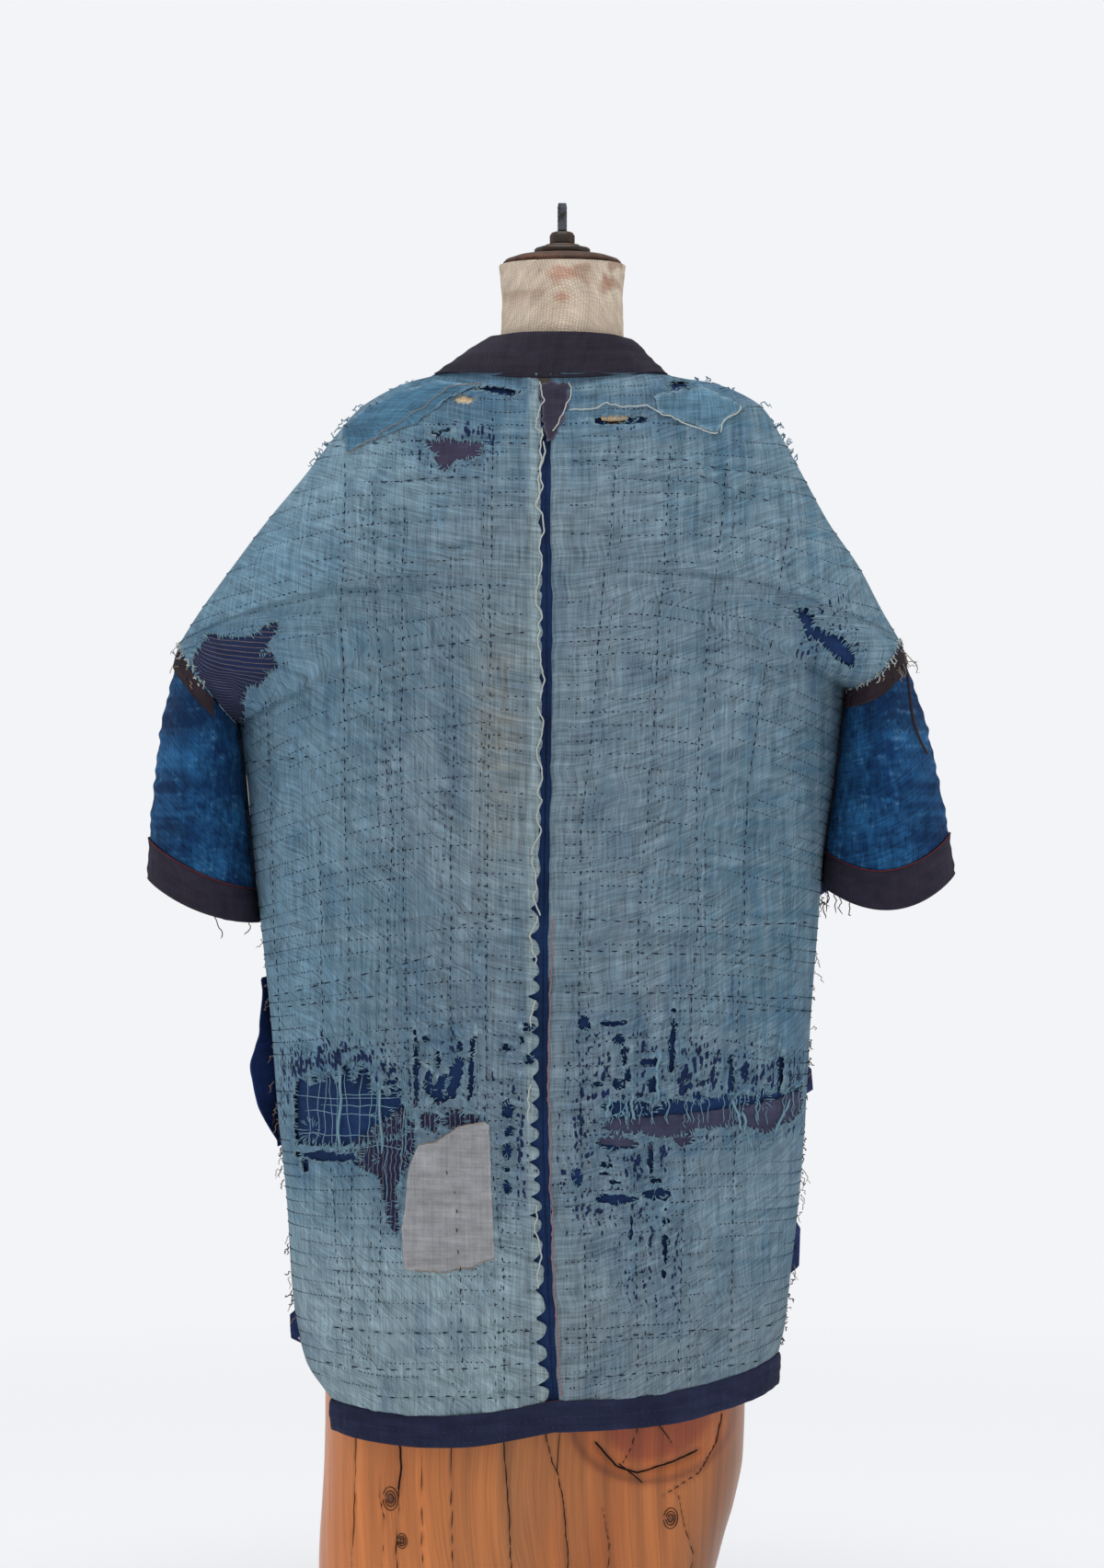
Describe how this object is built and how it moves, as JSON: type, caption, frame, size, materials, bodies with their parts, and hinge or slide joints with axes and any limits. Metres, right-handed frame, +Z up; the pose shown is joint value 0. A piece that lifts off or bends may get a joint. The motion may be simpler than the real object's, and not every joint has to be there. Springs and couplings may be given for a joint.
{
  "type": "boro noragi jacket on a dress form",
  "caption": "Patched and quilted indigo farm jacket with torn top cloth, hanging on an antique limbless dress form that stands on a wooden stump.",
  "frame": {"origin": "middle of the stump's flat underside, on the surface that it stands on", "axes": "+Z up, +Y towards the jacket's back, +X towards the wearer's left"},
  "size_m": [0.7012, 0.2872, 1.255],
  "materials": {
    "light_blue_cloth": "washed-out indigo cotton, quilted with running stitches",
    "indigo_cloth": "dark indigo cotton backing",
    "sleeve_cloth": "bright mottled indigo cotton",
    "dark_band_cloth": "near-black brownish cotton bands",
    "hem_cloth": "dark navy cotton band",
    "stripe_cloth": "navy cotton with narrow tan stripes",
    "mauve_cloth": "plain mauve-grey cotton",
    "grey_cloth": "pale grey chambray patch",
    "form_jersey": "worn beige ribbed jersey",
    "form_iron": "rust-browned iron fittings",
    "form_cap": "brown japanned cap",
    "stump_wood": "waxed orange-brown trunk with cracks and knots"
  },
  "bodies": {
    "root": {"back_left_cloth": "light_blue_cloth", "back_left_under": "indigo_cloth", "front_left": "light_blue_cloth", "back_right_cloth": "light_blue_cloth", "back_right_under": "indigo_cloth", "front_right": "light_blue_cloth", "neck_patch": "mauve_cloth", "shoulder_patch_left": "light_blue_cloth", "shoulder_patch_right": "light_blue_cloth", "grey_patch": "grey_cloth", "stripe_patch_armpit": "stripe_cloth", "stripe_patch_side": "stripe_cloth", "mauve_patch_tear": "mauve_cloth", "mauve_patch_blade": "mauve_cloth", "side_flap_left": "indigo_cloth", "sleeve_left": "sleeve_cloth", "cuff_left": "dark_band_cloth", "armhole_band_left": "dark_band_cloth", "sleeve_right": "sleeve_cloth", "cuff_right": "dark_band_cloth", "armhole_band_right": "dark_band_cloth", "hem_back": "hem_cloth", "hem_front_left": "hem_cloth", "hem_front_right": "hem_cloth", "collar": "dark_band_cloth", "form_torso": "form_jersey", "form_neck_cap": "form_cap", "form_flange": "form_iron", "form_nut": "form_iron", "form_spindle": "form_iron", "stump": "stump_wood"}
  },
  "joints": []
}
